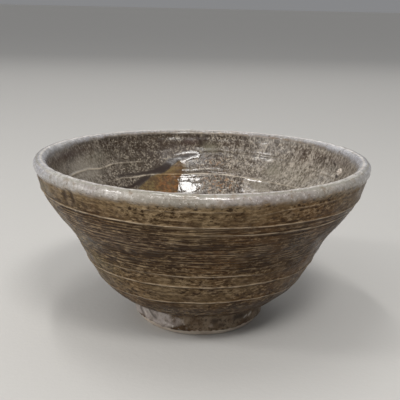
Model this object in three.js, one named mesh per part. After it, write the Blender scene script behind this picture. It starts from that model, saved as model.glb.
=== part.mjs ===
// A hand-thrown tea bowl with its foot ring and its glaze coats, in millimetres, +Z up.
// The origin is the middle of the foot, on the surface that the bowl stands on.
// The bowl's front is at -Y, and a turn is an angle from the front towards +X.

import * as THREE from 'three';

// Overall sizes of the fired bowl, over its glaze.
const bowlHeight = 73.3;
const mouthRadius = 72;
const lipRadius = 2.75;
const neckInset = 1.6;
const neckDrop = 4.4;

// Foot ring and the shallow recess inside it.
const footHeight = 10;
const footRadius = 28.8;
const footContactRadius = 26.4;
const footChamferHeight = 2.6;
const footInnerRadius = 20.5;
const footInnerChamfer = 0.8;
const recessDepth = 6.8;

// Thickness of the fired wall, glaze included, under the lip and at the turn of the floor.
const wallAtNeck = 5.2;
const wallAtHip = 7.2;
const floorHeight = 14.6;
const poolRadius = 24;
const poolDepth = 1.8;

// Glaze coats, and the seams between one layer and the next.
const outerGlazeThickness = 0.7;
const innerGlazeThickness = 0.7;
const rimGlazeThickness = 0.7;
const footGlazeThickness = 0.5;
const layerSeam = 0.1;
const coatSeam = 0.12;
const footSeam = 0.12;
const undersideStart = 0.4;

// Edges of the pale rim coat, below and above the middle of the lip, and the bare foot band.
const rimEdgeDrop = 0.75;
const rimEdgeWave = 0.4;
const rimInnerEdgeRise = 0.45;
const rimInnerEdgeWave = 0.8;
const footGlazeStart = 2.9;
const footGlazeWave = 0.5;

// Roundness error of the throwing, the rise and fall of the rim and its tilt to the back.
const outOfRound = 0.35;
const rimLift = 0.44;
const rimTilt = 0.35;

// Throwing ridges outside: height on the wall, how far they stand out and their width.
const ridges = [
  { height: 60.6, rise: 0.55, width: 1.1 },
  { height: 56.9, rise: 0.3, width: 0.9 },
  { height: 44.5, rise: 0.3, width: 1.4 },
  { height: 36.8, rise: 0.3, width: 1.2 },
  { height: 31.5, rise: 0.5, width: 1.3 },
  { height: 23.1, rise: 0.6, width: 1.4 },
];

// Outer wall between the foot and the neck, as shares of its reach and of its rise.
const wallShape = [
  [0, 0],
  [0.13, 0.03],
  [0.222, 0.084],
  [0.344, 0.164],
  [0.45, 0.283],
  [0.557, 0.433],
  [0.663, 0.582],
  [0.817, 0.731],
  [0.944, 0.881],
  [1, 1],
];
const hipStation = 2;

// Thick amber run of glaze on the inner wall, at the back left. The drop is from the lip's top.
const amberRun = { turn: -156, drop: 27.3, halfWidth: 12.5, halfHeight: 12, thickness: 0.8 };
// Grain of stone that burst through the glaze inside, on the right.
const stoneGrain = { turn: 102.3, drop: 9.2, halfWidth: 1.3, halfHeight: 1.1, thickness: 0.9 };
const inlaySeam = 0.3;

// Fineness of the meshes.
const turnSteps = 48;
const wallSteps = 13;
const ridgeSteps = 30;
const floorSteps = 12;
const lipSteps = 5;

const point = (radius, height) => new THREE.Vector2(radius, height);

// Moves an outline to its left by a distance, so into the wall when it runs up outside.
function inset(outline, distanceAt) {
  return outline.map((here, i) => {
    const before = outline[Math.max(i - 1, 0)];
    const after = outline[Math.min(i + 1, outline.length - 1)];
    const along = after.clone().sub(before).normalize();
    const distance = distanceAt(i);
    const radius = here.x === 0 ? 0 : here.x - along.y * distance;
    return point(radius, here.y + along.x * distance);
  });
}

const insetEvenly = (outline, distance) => inset(outline, () => distance);

// Radius of an outline at a height, between its nearest points.
function radiusAt(outline, height) {
  for (let i = 1; i < outline.length; i += 1) {
    const [low, high] = [outline[i - 1], outline[i]].sort((a, b) => a.y - b.y);
    if (height >= low.y && height <= high.y && high.y > low.y) {
      const share = (height - low.y) / (high.y - low.y);
      return low.x + share * (high.x - low.x);
    }
  }
  return outline[0].x;
}

// Lip: a round bead whose outermost point is the mouth radius and whose top is the height.
const lipCentre = point(mouthRadius - lipRadius, bowlHeight - lipRadius);

function lipPoint(angle, depth) {
  const radius = lipRadius - depth;
  return point(
    lipCentre.x + radius * Math.cos(angle),
    lipCentre.y + radius * Math.sin(angle),
  );
}

function lipArc(from, to, depth, steps) {
  const arc = [];
  for (let i = 0; i <= steps; i += 1) {
    arc.push(lipPoint(from + ((to - from) * i) / steps, depth));
  }
  return arc;
}

const lipOuterStart = THREE.MathUtils.degToRad(-55);

// Outer wall, from the foot up to the neck.
const neck = point(mouthRadius - neckInset, lipCentre.y - neckDrop);
const wallStart = point(footRadius + undersideStart, footHeight + undersideStart);
const wallControls = wallShape.map(([out, up]) =>
  point(wallStart.x + out * (neck.x - wallStart.x), wallStart.y + up * (neck.y - wallStart.y)),
);
const wallCurve = new THREE.SplineCurve(wallControls);
const outerWall = wallCurve.getPoints(wallSteps);

// Inner wall, from the neck down and over the floor to the axis.
const stations = wallControls.length - 1;
const wallThicknessAt = (i) =>
  THREE.MathUtils.mapLinear(i, hipStation, stations, wallAtHip, wallAtNeck);
const innerControls = inset(wallControls, wallThicknessAt).slice(hipStation).reverse();
innerControls.push(
  point(poolRadius, floorHeight + poolDepth),
  point(poolRadius / 2, floorHeight + poolDepth / 6),
  point(0, floorHeight),
);
const innerWall = new THREE.SplineCurve(innerControls).getPoints(floorSteps);
innerWall[innerWall.length - 1].x = 0;

// Seams of the rim coat, as angles round the lip bead, with a gentle wave.
const seamAngle = coatSeam / lipRadius;
const outerEdgeAngle = (turn) =>
  Math.asin((-rimEdgeDrop + rimEdgeWave * Math.sin(2 * turn + 0.2)) / lipRadius);
const innerEdgeAngle = (turn) =>
  Math.PI - Math.asin((rimInnerEdgeRise + rimInnerEdgeWave * Math.sin(turn + 4.2)) / lipRadius);

// Hand-thrown error at a place on the bowl, shared by all layers so that they keep their fit.
function thrown(radius, height, turn) {
  const up = height / bowlHeight;
  const swell = 1 + (outOfRound / mouthRadius) * up * Math.sin(3 * turn + 3.12);
  const wave = rimLift * Math.sin(2 * turn + 4.55) + rimTilt * Math.cos(turn);
  const lift = wave * (radius / mouthRadius) * up ** 3;
  const wide = radius * swell;
  return new THREE.Vector3(wide * Math.sin(turn), -wide * Math.cos(turn), height + lift);
}

// Solid turned on the wheel: the outline at each turn, carried round the axis.
function turned(outlineAt) {
  const outline = outlineAt(0);
  const geometry = new THREE.LatheGeometry(outline, turnSteps);
  const position = geometry.getAttribute('position');
  for (let step = 0; step <= turnSteps; step += 1) {
    const turn = ((step % turnSteps) * 2 * Math.PI) / turnSteps;
    outlineAt(turn).forEach((here, i) => {
      const place = thrown(here.x, here.y, turn);
      position.setXYZ(step * outline.length + i, place.x, place.y, place.z);
    });
  }
  geometry.computeVertexNormals();
  return geometry;
}

// Low drop of material on the inner wall: flat against it, domed towards the axis.
function wallInlay({ turn, drop, halfWidth, halfHeight, thickness }, across, down) {
  const geometry = new THREE.SphereGeometry(1, across, down);
  geometry.rotateX(Math.PI / 2);
  const position = geometry.getAttribute('position');
  const middle = THREE.MathUtils.degToRad(turn);
  const height = bowlHeight - drop;
  const reach = radiusAt(innerWall, height);
  const place = new THREE.Vector3();
  for (let i = 0; i < position.count; i += 1) {
    place.fromBufferAttribute(position, i);
    const level = height + halfHeight * place.y;
    const depth = inlaySeam + thickness * Math.max(place.z, 0);
    const side = middle - (halfWidth / reach) * place.x;
    const spot = thrown(radiusAt(innerWall, level) - depth, level, side);
    position.setXYZ(i, spot.x, spot.y, spot.z);
  }
  geometry.computeVertexNormals();
  return geometry;
}

// Thrown clay wall and floor, with a stepped boss below that the foot ring is luted round.
function clayOutline(turn) {
  const seat = footHeight;
  const wall = insetEvenly(outerWall, outerGlazeThickness + layerSeam);
  const floor = insetEvenly(innerWall, innerGlazeThickness + layerSeam);
  const lipEnd = innerEdgeAngle(turn);
  const lip = lipArc(lipOuterStart, lipEnd, rimGlazeThickness + layerSeam, 2 * lipSteps);
  const bossRadius = footInnerRadius - footSeam;
  const seatRadius = footRadius - footGlazeThickness - layerSeam;
  const outline = [
    point(0, recessDepth),
    point(bossRadius, recessDepth),
    point(bossRadius, seat),
    point(seatRadius, seat),
  ];
  return [...outline, ...wall, ...lip, ...floor];
}

// Ring that the bowl stands on, chamfered at the bottom, bare where it meets the table.
function footOutline() {
  const top = footHeight - footSeam;
  const side = footRadius - footGlazeThickness - layerSeam;
  const contact = footContactRadius - footGlazeThickness;
  return [
    point(footInnerRadius + footInnerChamfer, 0),
    point(contact, 0),
    point(side - 0.3, footChamferHeight),
    point(side, footHeight / 2),
    point(side, top),
    point(footInnerRadius, top),
    point(footInnerRadius, footInnerChamfer),
    point(footInnerRadius + footInnerChamfer, 0),
  ];
}

// Thin coat on the outside of the foot ring, stopping short of the table in a wavy edge.
function footGlazeOutline(turn) {
  const top = footHeight - footSeam;
  const inside = footRadius - footGlazeThickness;
  const start = footGlazeStart + footGlazeWave * Math.sin(5 * turn) * Math.cos(2 * turn + 1);
  return [
    point(inside, start),
    point(inside + 0.4 * footGlazeThickness, start),
    point(footRadius - 0.1, start + 0.5),
    point(footRadius, footHeight / 2),
    point(footRadius, top),
    point(inside, top),
    point(inside, start),
  ];
}

// Outer surface with its throwing ridges, from the foot to the neck.
function ridgedWall() {
  const wall = wallCurve.getPoints(ridgeSteps);
  const rise = wall.map((here) =>
    ridges.reduce((sum, ridge) => {
      const away = (here.y - ridge.height) / ridge.width;
      return sum + ridge.rise * Math.exp(-away * away);
    }, 0),
  );
  return inset(wall, (i) => -rise[i]);
}

// Brown coat on the outside, from the foot to just under the rim coat.
function outerGlazeOutline(turn) {
  const edge = outerEdgeAngle(turn) - seamAngle;
  const face = [...ridgedWall(), ...lipArc(lipOuterStart, edge, 0, 2)];
  const backWall = insetEvenly(outerWall, outerGlazeThickness);
  const backLip = lipArc(lipOuterStart, edge, outerGlazeThickness, 2);
  const back = [...backWall, ...backLip].reverse();
  return [...face, ...back, face[0]];
}

// Pale coat rolled over the lip.
function rimGlazeOutline(turn) {
  const from = outerEdgeAngle(turn) + seamAngle;
  const to = innerEdgeAngle(turn) - seamAngle;
  const face = lipArc(from, to, 0, 2 * lipSteps);
  const back = lipArc(from, to, rimGlazeThickness, 2 * lipSteps).reverse();
  return [...face, ...back, face[0]];
}

// Dark coat inside, from just under the rim coat down over the floor.
function innerGlazeOutline(turn) {
  const edge = innerEdgeAngle(turn) + seamAngle;
  const back = insetEvenly(innerWall, innerGlazeThickness).reverse();
  const faceStart = lipPoint(edge, 0);
  const backEnd = lipPoint(edge, innerGlazeThickness);
  return [...back, backEnd, faceStart, ...innerWall];
}

const coat = (color, roughness) =>
  new THREE.MeshStandardMaterial({ color, roughness, metalness: 0 });

const bowl = new THREE.Group();

function addPiece(name, geometry, material) {
  const piece = new THREE.Mesh(geometry, material);
  piece.name = name;
  bowl.add(piece);
}

addPiece('clay_body', turned(clayOutline), coat(0x8f7f6b, 0.9));
addPiece('foot_ring', turned(footOutline), coat(0xb5a893, 0.85));
addPiece('foot_glaze', turned(footGlazeOutline), coat(0x6e6250, 0.4));
addPiece('outer_glaze', turned(outerGlazeOutline), coat(0x5c4c38, 0.25));
addPiece('rim_glaze', turned(rimGlazeOutline), coat(0xa9a79b, 0.2));
addPiece('inner_glaze', turned(innerGlazeOutline), coat(0x4c463d, 0.3));
addPiece('amber_glaze_run', wallInlay(amberRun, 24, 12), coat(0x8a5a2b, 0.15));
addPiece('stone_grain', wallInlay(stoneGrain, 12, 8), coat(0xb9b1a2, 0.6));

export default bowl;
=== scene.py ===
"""Looks of a hand-thrown, glazed tea bowl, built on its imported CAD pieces.

Sizes named here are in millimetres, +Z up, with the origin in the middle of the foot.
A turn is an angle round the bowl from its front, which is at -Y, towards +X.
A path is the length along the bowl's section: up the outside, over the lip, down the inside.
"""

import math

import bmesh
import bpy
import numpy as np
from mathutils import Matrix, Vector


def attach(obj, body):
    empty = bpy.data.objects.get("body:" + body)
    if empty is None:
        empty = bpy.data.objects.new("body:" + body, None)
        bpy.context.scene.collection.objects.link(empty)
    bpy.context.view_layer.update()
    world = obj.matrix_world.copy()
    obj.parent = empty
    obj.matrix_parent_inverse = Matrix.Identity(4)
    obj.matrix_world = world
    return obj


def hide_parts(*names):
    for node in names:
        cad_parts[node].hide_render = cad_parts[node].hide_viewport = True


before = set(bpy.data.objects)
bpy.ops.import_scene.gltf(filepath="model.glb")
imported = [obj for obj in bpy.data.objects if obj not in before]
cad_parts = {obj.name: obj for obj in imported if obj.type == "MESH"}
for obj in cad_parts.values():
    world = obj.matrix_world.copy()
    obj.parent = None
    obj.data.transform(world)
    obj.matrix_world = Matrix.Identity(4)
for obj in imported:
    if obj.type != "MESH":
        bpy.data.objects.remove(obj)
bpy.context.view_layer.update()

MM = 0.001
TAU = 2 * math.pi

# Finished sizes of the bowl, as in its CAD pieces.
BOWL_HEIGHT = 73.3
MOUTH_RADIUS = 72.0
LIP_RADIUS = 2.75
NECK = (70.4, 66.15)
FOOT_HEIGHT = 10.0
FOOT_RADIUS = 28.8
FOOT_CONTACT_RADIUS = 26.4
FOOT_CHAMFER_HEIGHT = 2.6
FOOT_INNER_RADIUS = 20.5
FOOT_INNER_BEVEL = 0.8
FOOT_TAPER = 0.3
FOOT_COAT_START = 2.9
RECESS_DEPTH = 6.8
WALL_START = (29.2, 10.4)
WALL_AT_NECK = 5.2
WALL_AT_HIP = 7.2
FLOOR_HEIGHT = 14.6
POOL_RADIUS = 24.0
POOL_DEPTH = 1.8
COAT = 0.7
FOOT_COAT = 0.5
SEAM = 0.1
OUT_OF_ROUND, OUT_OF_ROUND_PHASE = 0.35, 3.12
RIM_LIFT, RIM_LIFT_PHASE = 0.44, 4.55
RIM_TILT = 0.35

# Path from the lip's crown to where each wall's relief takes over, and how softly it does.
LIP_REACH = 3.6
LIP_FADE = 0.35

# Heights of the fine relief: combing, pooled streaks and dark runs, then for each surface the
# slow and the small unevenness.
COMB_RELIEF = 0.03
STREAK_RELIEF = 0.12
RUN_RELIEF = 0.08
UNEVEN_OUTSIDE = (0.04, 0.015)
UNEVEN_INSIDE = (0.05, 0.016)
UNEVEN_LIP = (0.05, 0.022)

# Turned underside: height and half width of its middle knob, depth and pitch of its spiral.
KNOB = (0.35, 3.0)
SPIRAL_DEPTH, SPIRAL_PITCH = 0.12, 2.5

# Outer wall from the foot to the neck, as shares of its reach and of its rise.
WALL_SHAPE = [
    (0, 0), (0.13, 0.03), (0.222, 0.084), (0.344, 0.164), (0.45, 0.283),
    (0.557, 0.433), (0.663, 0.582), (0.817, 0.731), (0.944, 0.881), (1, 1),
]
HIP_STATION = 2

# Throwing ridges outside: height of the crest by turn, swell, rise and half width of the crest,
# and its strength by turn.
OUTER_RIDGES = [
    ({-15: 67, 15: 67}, 0.03, 0.12, 0.24,
     {-70: 0.2, -24: 0.3, -18: 0.8, 0: 0.9, 12: 0.7, 17: 0.1, 90: 0.4, 180: 0.7}),
    ({10: 64.6, 14: 65, 20: 65.6, 25: 66.5, 33: 66.9, 60: 66.6}, 0.03, 0.13, 0.24,
     {8: 0, 13: 0.6, 25: 0.8, 40: 0.8, 60: 0.4, 90: 0.2, 180: 0}),
    ({0: 64.8}, 0.02, 0.10, 0.22, {-6: 0, 0: 0.5, 10: 0.6, 18: 0.3, 24: 0}),
    ({-70: 61.9, -50: 61.5, -30: 61.3, 0: 60.9, 20: 60.8, 35: 60.6, 50: 60.1,
      70: 60, 180: 61}, 0.13, 0.25, 0.29, {0: 1, 60: 0.9, 180: 0.9}),
    ({-12: 59.2, 0: 59.2}, 0.02, 0.10, 0.22, {-16: 0, -12: 0.6, 0: 0.6, 12: 0}),
    ({-20: 57.9, 0: 57.7, 15: 57.4, 25: 57.1, 60: 56.6, 180: 57.4}, 0.08, 0.19, 0.26,
     {-60: 0.1, -20: 0.15, -3: 0.6, 10: 0.8, 40: 1, 60: 0.8, 120: 0.4, 200: 0.3}),
    ({-10: 53.5, 0: 53}, 0.04, 0.13, 0.28,
     {-14: 0, -10: 0.8, -1: 0.8, 5: 0, 100: 0.1, 180: 0.5, 240: 0.1}),
    ({-50: 48.9, -30: 48.3, -8: 48.9, 0: 48.7}, 0.06, 0.13, 0.30,
     {-70: 0.2, -48: 0.7, -38: 0.6, -30: 0.1, -10: 0.2, -7: 0.9, -1: 0.7, 5: 0, 120: 0.3}),
    ({0: 43.5}, 0.12, 0.10, 0.28,
     {-34: 0, -30: 0.6, -22: 0.6, -15: 0.3, 10: 0.3, 30: 0.1, 180: 0.5}),
    ({22: 39.3, 33: 39.9}, 0.02, 0.13, 0.26, {18: 0, 23: 0.8, 33: 0.7, 40: 0}),
    ({-45: 36.4, -28: 36.6, 0: 36.8, 20: 36.7, 30: 36.4}, 0.10, 0.18, 0.28,
     {-60: 0.3, -42: 0.8, -28: 0.7, -22: 0.5, -10: 0.9, 10: 1, 20: 0.8, 28: 0.4,
      50: 0.2, 180: 0.6}),
    ({-60: 30.5, -40: 31.1, -20: 31.4, 35: 31.6, 50: 31, 180: 31.3},
     0.17, 0.24, 0.36, {0: 1, 60: 0.7, 180: 0.8}),
    ({-60: 22.2, -20: 22.6, -5: 23.2, 20: 23.6, 60: 22.8, 180: 23},
     0.18, 0.22, 0.30, {-40: 0.7, 0: 1, 30: 0.8, 60: 0.6, 180: 0.8}),
    ({-60: 16.2, 0: 15.3, 60: 15, 180: 15.8}, 0.06, 0.13, 0.30, {0: 1, 40: 0.6, 180: 0.7}),
]

# Throwing rings inside, as above but standing in from the wall.
INNER_RINGS = [
    ({100: 62.8, 140: 62.3, 150: 62.3, 158: 62.6, 173: 63.3, -170: 61.6},
     0.22, 0.10, 0.34, {-160: 0, -178: 0, 177: 0.4, 173: 0.7, 140: 0.8, 125: 0.3, 110: 0}),
    ({97: 60.9, 104: 60.6, 112: 60.3, 120: 60.4, 127: 60}, 0.10, 0.12, 0.32,
     {80: 0.2, 100: 0.7, 125: 0.8, 130: 0.2, 140: 0}),
    ({-100: 59, -118: 58.9, -121: 58.4, -125: 58, -129: 58.3, -134: 58.9,
      -146: 58.4, -154: 58.1}, 0.10, 0.19, 0.40,
     {-80: 0.3, -102: 0.8, -142: 1, -148: 0.6, -156: 0.1, -170: 0, 0: 0.2}),
    ({-131: 51.9, -136: 52.2, -141: 51.8, -152: 52, -165: 51.5, 180: 51.8,
      170: 51.8, 150: 51.2, 140: 50.9, 125: 51.5}, 0.12, 0.15, 0.38,
     {-100: 0.3, -131: 0.6, -150: 1, -170: 1, 160: 1, 145: 0.8, 120: 0.5, 0: 0.4}),
    ({176: 54}, 0.10, 0.08, 0.5, {150: 0, 160: 0.8, 178: 1, -172: 1, -166: 0}),
    ({0: 43.2}, 0.18, 0.06, 0.45, {0: 0.8}),
    ({0: 35.5}, 0.20, 0.08, 0.45, {0: 0.9}),
    ({0: 28}, 0.20, 0.08, 0.45, {0: 0.9}),
    ({0: 22}, 0.16, 0.06, 0.45, {0: 0.9}),
]
SWELL_WIDTH = 1.25

# Dark streaks where the glaze pooled outside: turn in degrees, height and half width.
POOLED_STREAKS = [
    [(-10.5, 50.6, 0.5), (-8, 50.6, 1), (-1, 50.6, 1), (6, 51.4, 0.8), (14, 51.7, 0.6),
     (19, 51.6, 0.3)],
    [(-7.8, 48.3, 0.4), (-10, 48, 0.9), (-13, 47, 1.2), (-18, 46.2, 1.2), (-22, 45.7, 0.8),
     (-28, 45, 0.7), (-33, 44.9, 0.6), (-37, 45.2, 0.3)],
    [(-23.5, 42, 0.5), (-26, 41.2, 1.3), (-28, 41.6, 0.9), (-30, 42.4, 0.4)],
    [(-35.3, 41, 0.6), (-37, 39.6, 1.2), (-39.5, 38.8, 0.9), (-41.5, 38.6, 0.3)],
    [(-45.5, 39.6, 0.4), (-47.5, 38.9, 0.5)],
    [(-33.6, 57.9, 0.3), (-36, 58.3, 0.45), (-38.6, 58, 0.3)],
    [(-35.5, 56.3, 0.25), (-38.8, 56.4, 0.3)],
    [(-32.3, 59.1, 0.25), (-34, 59.6, 0.3)],
    [(-45.4, 68, 0.7), (-46.2, 65, 0.8)],
    [(-42.2, 68.3, 0.8), (-42, 65, 1)],
    [(-43, 60.4, 0.2), (-47, 60.6, 0.35), (-50, 60.7, 0.25)],
    [(-45.5, 62.3, 0.3), (-50, 62.1, 0.25), (-55, 61.9, 0.2)],
    [(-13.8, 56.2, 0.35), (-16.5, 56, 0.25)],
    [(-18, 55.8, 0.25), (-21.5, 55.7, 0.35)],
    [(-33, 46.8, 0.3), (-35.5, 46.2, 0.4)],
    [(23, 44.8, 0.4), (27, 44.9, 0.3)],
    [(26, 42.3, 0.3), (28.5, 41, 0.6), (30, 40.4, 0.3)],
    [(15, 38.3, 0.3), (20, 38.1, 0.35)],
    [(22, 56.3, 0.4), (26, 56, 0.5)],
    [(45.5, 27, 0.5), (49, 25.8, 0.7)],
    [(-24, 26.9, 0.4), (-24.6, 26.8, 0.4)],
    [(-39, 23.8, 0.4), (-39.8, 23.6, 0.3)],
    [(-16, 25.2, 0.25), (-18.5, 25.3, 0.3)],
    [(8.3, 69.9, 0.3), (8.3, 69.3, 0.3)],
]

# Middle lines of the dark runs inside: turn in degrees, height and half width.
DARK_RUNS = [
    [(-134, 53.4, 0.35), (-140, 53.2, 0.45), (-147, 53, 0.5), (-152, 53.1, 0.8),
     (-156, 53.6, 1.1), (-160, 54.3, 1.5), (-162.5, 55.6, 1.5), (-164.5, 57.2, 1.3),
     (-167, 58.4, 1.1), (-170, 59.3, 1), (-174, 60.2, 0.8), (-177, 60.6, 0.5)],
    [(-152, 51.3, 0.3), (-150, 50.9, 0.7), (-147, 50, 1), (-144.5, 49.2, 0.9),
     (-141, 48.3, 0.6), (-137, 48, 0.45), (-131, 48.2, 0.3)],
    [(-178, 71, 0.35), (-178.8, 68.5, 0.5), (-179.8, 66.2, 0.3)],
    [(177.6, 71, 0.25), (178.6, 68.5, 0.35)],
    [(102.6, 61.9, 0.6), (101.3, 61.3, 0.8)],
    [(108.8, 66.1, 0.4), (107.2, 65.2, 0.6)],
    [(104.6, 64.6, 0.4), (103.8, 63.2, 0.4)],
    [(116.4, 67, 0.35), (115.3, 66.7, 0.45)],
]

# Soft patches of the inner glaze: turn and height, half width in degrees and half height in mm,
# change of tone and of the grains, and share of green and of red.
INNER_PATCHES = [
    (-108, 67.4, 16, 2.3, -0.75, -0.9, 0, 0.5),
    (-112, 60.5, 13, 3.4, 0.65, -0.8, 0.1, 0),
    (-126, 63.5, 8, 3, 0.15, -0.2, 0.5, 0),
    (-144, 56.5, 7, 4, -0.45, 0, 0.2, 0),
    (-175, 67.5, 4, 2.4, -0.45, -0.5, 0, 0.7),
    (176, 64.5, 4, 2.6, 0.25, -0.9, 1, 0),
    (143, 56.3, 5, 3.6, 0.25, -0.8, 0.5, 0),
    (146, 48, 6, 2.5, 0.3, -0.8, 0.3, 0),
    (103, 68, 12, 2.2, -0.35, -0.5, 0, 0.5),
    (126, 55, 14, 5, 0.25, -0.2, 0.3, 0),
    (-120, 56.8, 9, 3, 0.55, -0.5, 0.1, 0),
    (165, 67, 8, 2.6, -0.25, 0, 0, 0.3),
    (-166, 64.5, 11, 5, -0.6, -0.3, 0, 0.2),
    (124, 66.5, 14, 3, -0.5, 0, 0, 0.5),
    (-132, 53.5, 9, 4, -0.35, 0, 0, 0),
]

# Glossy and satin places of the inner glaze, placed the same way, with how strong they are,
# and how flat-topped the glossy ones are.
GLOSSY_TOP = 1.6
GLOSSY_PLACES = [
    (-172.5, 47.3, 7.5, 4.2, 1),
    (176, 53.3, 13, 0.6, 1),
    (169.5, 63, 3, 0.7, 0.9),
    (150, 62.2, 12, 0.8, 0.85),
    (149, 50.2, 5, 3, 0.7),
]
SATIN_PLACES = [(-171, 61.5, 10, 4, 1.5)]

# The glossiest stroke inside, as turn in degrees, height and half width.
GLOSSY_STROKES = [
    [(-167, 61, 0.3), (-173, 61.9, 0.45), (-177.6, 62.4, 0.6), (-179.5, 61.2, 0.8),
     (-178.5, 59.8, 0.8), (-173.8, 58.5, 0.5), (-171, 57.3, 0.3)],
]

# The amber run: turn of its middle, mean radius of the wall there, and both of its edges as
# height, turn of the left edge and turn of the right edge.
AMBER_MIDDLE = -158
AMBER_RADIUS = 52
AMBER_EDGES = [
    (28, -155, -157), (33, -152, -160), (38, -147, -163), (44, -141.5, -167),
    (47.7, -144.5, -167.8), (49.6, -149, -168), (51.2, -152, -169), (52.3, -159, -171),
    (54.5, -163.5, -171.5), (56.8, -166.5, -172), (58.6, -170, -172.5),
]

# Where the amber run and the stone grain are: turn, height, half width and half height in mm,
# and the rings and spokes of their meshes.
AMBER_LENS = (-157, 44.5, 17, 17, 90, 260)
GRAIN_LENS = (101.2, 63.6, 1.6, 1.7, 24, 60)

# Light and dark strokes in the coat of the foot: turn in degrees, height and half width.
FOOT_LIGHTS = [
    [(-58, 8.2, 0.25), (-51, 5.6, 0.4)],
    [(-50, 8.6, 0.3), (-44, 6, 0.35)],
    [(43.5, 6.3, 0.2), (46.5, 6.9, 0.25)],
    [(49.5, 6.4, 0.2), (52.5, 7.2, 0.3)],
]
FOOT_DARKS = [
    [(-47, 9.2, 0.4), (-43, 6.4, 0.6), (-39, 5.6, 0.4)],
    [(-62, 8, 0.4), (-56, 5, 0.5)],
    [(11.5, 7.4, 0.5), (13.5, 7.5, 1.1), (16, 7.3, 0.5)],
    [(19, 5.4, 0.5), (22, 5.2, 0.5)],
    [(33, 7.4, 1.1), (38, 7.6, 1.3), (42, 7.8, 0.8)],
]

# More soft places: green and red outside, warm grains inside and pale flecks on the foot.
OUTER_GREENS = [(-52, 38, 18, 12, 1), (-66, 65.5, 10, 2.5, 1)]
OUTER_REDS = [(-70, 68.6, 12, 0.9, 1), (-30, 52, 22, 5, 0.5)]
WARM_PLACES = [(170, 47.5, 12, 4.2, 1), (175, 57.5, 7, 2.6, 0.7)]
FOOT_FLECKS = [(-22, 5.3, 9, 2.6, 1)]

# Outside: tone by height, partly painted shade low on the bowl and painted light in the shaded
# band under the lip; turn and half width of the side darkened as painted shade; heights of the
# combed band; height and half width of the calm neck, where fewer dark marks add painted light
# under the lip; and how lively the pattern is by turn.
OUTER_TONE_LIGHT_AND_SHADE = {
    10: -1.4, 17: -1.2, 20.5: -0.6, 24: 0.2, 29: 0.35, 34: 0.2, 40: -0.2, 45: -0.5, 51: -0.5,
    55: -0.15, 59: 0, 62: 0.35, 66.5: 0.55, 67.8: 1.1, 69: 1.8, 71: 0.7,
}
SHADED_SIDE, SHADED_SIDE_HALF = 47, 38
COMBED_BAND = (37, 61.8)
CALM_NECK = (68.8, 1.5)
OUTER_LIVELY = {-180: 0.9, -60: 1.1, -25: 1.05, 0: 0.85, 20: 0.65, 50: 0.55, 90: 0.7}

# Inside, by turn: grains, streaks, tone, which partly paints the light and shade round the
# inside, and the amber's orange, which ends at a height.
INNER_GRAINY = {
    -180: 0.9, -165: 0.85, -150: 0.75, -130: 0.8, -120: 0.6, -95: 0.4, -60: 0.5, 0: 0.7,
    60: 0.5, 100: 0.4, 135: 0.5, 155: 0.8, 165: 1,
}
INNER_STREAKY = {
    -180: 0.2, -150: 0.1, -120: 0.5, -85: 0.4, -40: 0.4, 40: 0.5, 90: 0.9, 150: 1, 168: 0.6,
}
INNER_TONE_LIGHT_AND_SHADE = {
    -180: -0.55, -165: -0.85, -140: -0.75, -128: -0.35, -115: -0.05, -95: -0.1, -50: 0, 0: 0.1,
    50: 0.2, 90: 0.4, 108: 0.65, 135: 0.25, 150: -0.15, 165: -0.4,
}
INNER_ORANGE = {-180: 1, -162: 0.9, -152: 0.2, -140: 0, 0: 0}
ORANGE_TOP = 51.8

# The shelf under the main inner ring: its height, its curve and its strength by turn.
MAIN_RING = INNER_RINGS[3][0]
SHELF_HEIGHT = 6.4
SHELF_CURVE = 0.013
SHELF = {-150: 1, -130: 0, 130: 0, 150: 1}

# By turn: where the pale colour ends inside, the painted cool reflection on the lip's sides, how
# dull the lip is, partly painted shade, and the foot's cream.
PALE_INSIDE = {
    -180: 72.2, -160: 72.2, -135: 72, -123: 71.6, -112: 70.6, -92: 70.2, 0: 70, 90: 70.1,
    108: 71.1, 130: 71.8, 150: 72.1, 165: 72.2,
}
LIP_PAINTED_SHEEN = {-180: 0.7, -90: 1, -60: 0.8, -30: 0.1, -10: 0, 40: 0, 70: 0.7, 90: 1, 150: 0.9}
LIP_DULL_AND_SHADE = {
    -180: 0.55, -150: 0.45, -100: 0.4, -75: 0.2, -60: 0.2, -45: 0.4, -30: 0.4, -22: 0.35,
    -12: 0.65, 0: 0.6, 5: 0.25, 15: 0.3, 25: 0.5, 55: 0.5, 75: 0.15, 110: 0.35, 160: 0.5,
}
FOOT_CREAM = {
    -180: 0.4, -120: 0.5, -75: 1, -30: 0.95, -20: 0.6, -10: 0.25, 0: 0.1, 30: -0.2, 70: -0.4,
    120: 0,
}

# Fineness of the finished meshes, and the angle in degrees from which an edge stays hard.
TURNS = 640
OUTER_STATIONS = 340
RIM_STATIONS = 48
INNER_STATIONS = 250
FOOT_TURNS = 480
HARD_EDGE = 55


# Curves of the bowl's section.

def spline(controls, count):
    """Smooth curve through control points, with the same spacing as the CAD section."""
    points = np.array(controls, float)
    last = len(points) - 1
    places = np.linspace(0, last, count + 1)
    index = np.minimum(places.astype(int), last - 1)
    share = (places - index)[:, None]
    start, end = points[index], points[index + 1]
    before = points[np.maximum(index - 1, 0)]
    after = points[np.minimum(index + 2, last)]
    leave = (end - before) / 2
    arrive = (after - start) / 2
    cubic = 2 * start - 2 * end + leave + arrive
    square = -3 * start + 3 * end - 2 * leave - arrive
    return ((cubic * share + square) * share + leave) * share + start


def inset(points, distance):
    """Moves an open outline to its left, so into the wall on the way up outside."""
    along = np.gradient(points, axis=0)
    along[1:-1] = points[2:] - points[:-2]
    along /= np.linalg.norm(along, axis=1)[:, None]
    distance = np.broadcast_to(distance, len(points))[:, None]
    return points + np.stack([-along[:, 1], along[:, 0]], 1) * distance


def lip_arc(start, end, count):
    """Points round the lip bead between two angles in degrees."""
    angle = np.radians(np.linspace(start, end, count))
    centre = (MOUTH_RADIUS - LIP_RADIUS, BOWL_HEIGHT - LIP_RADIUS)
    return centre + LIP_RADIUS * np.stack([np.cos(angle), np.sin(angle)], 1)


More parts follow.
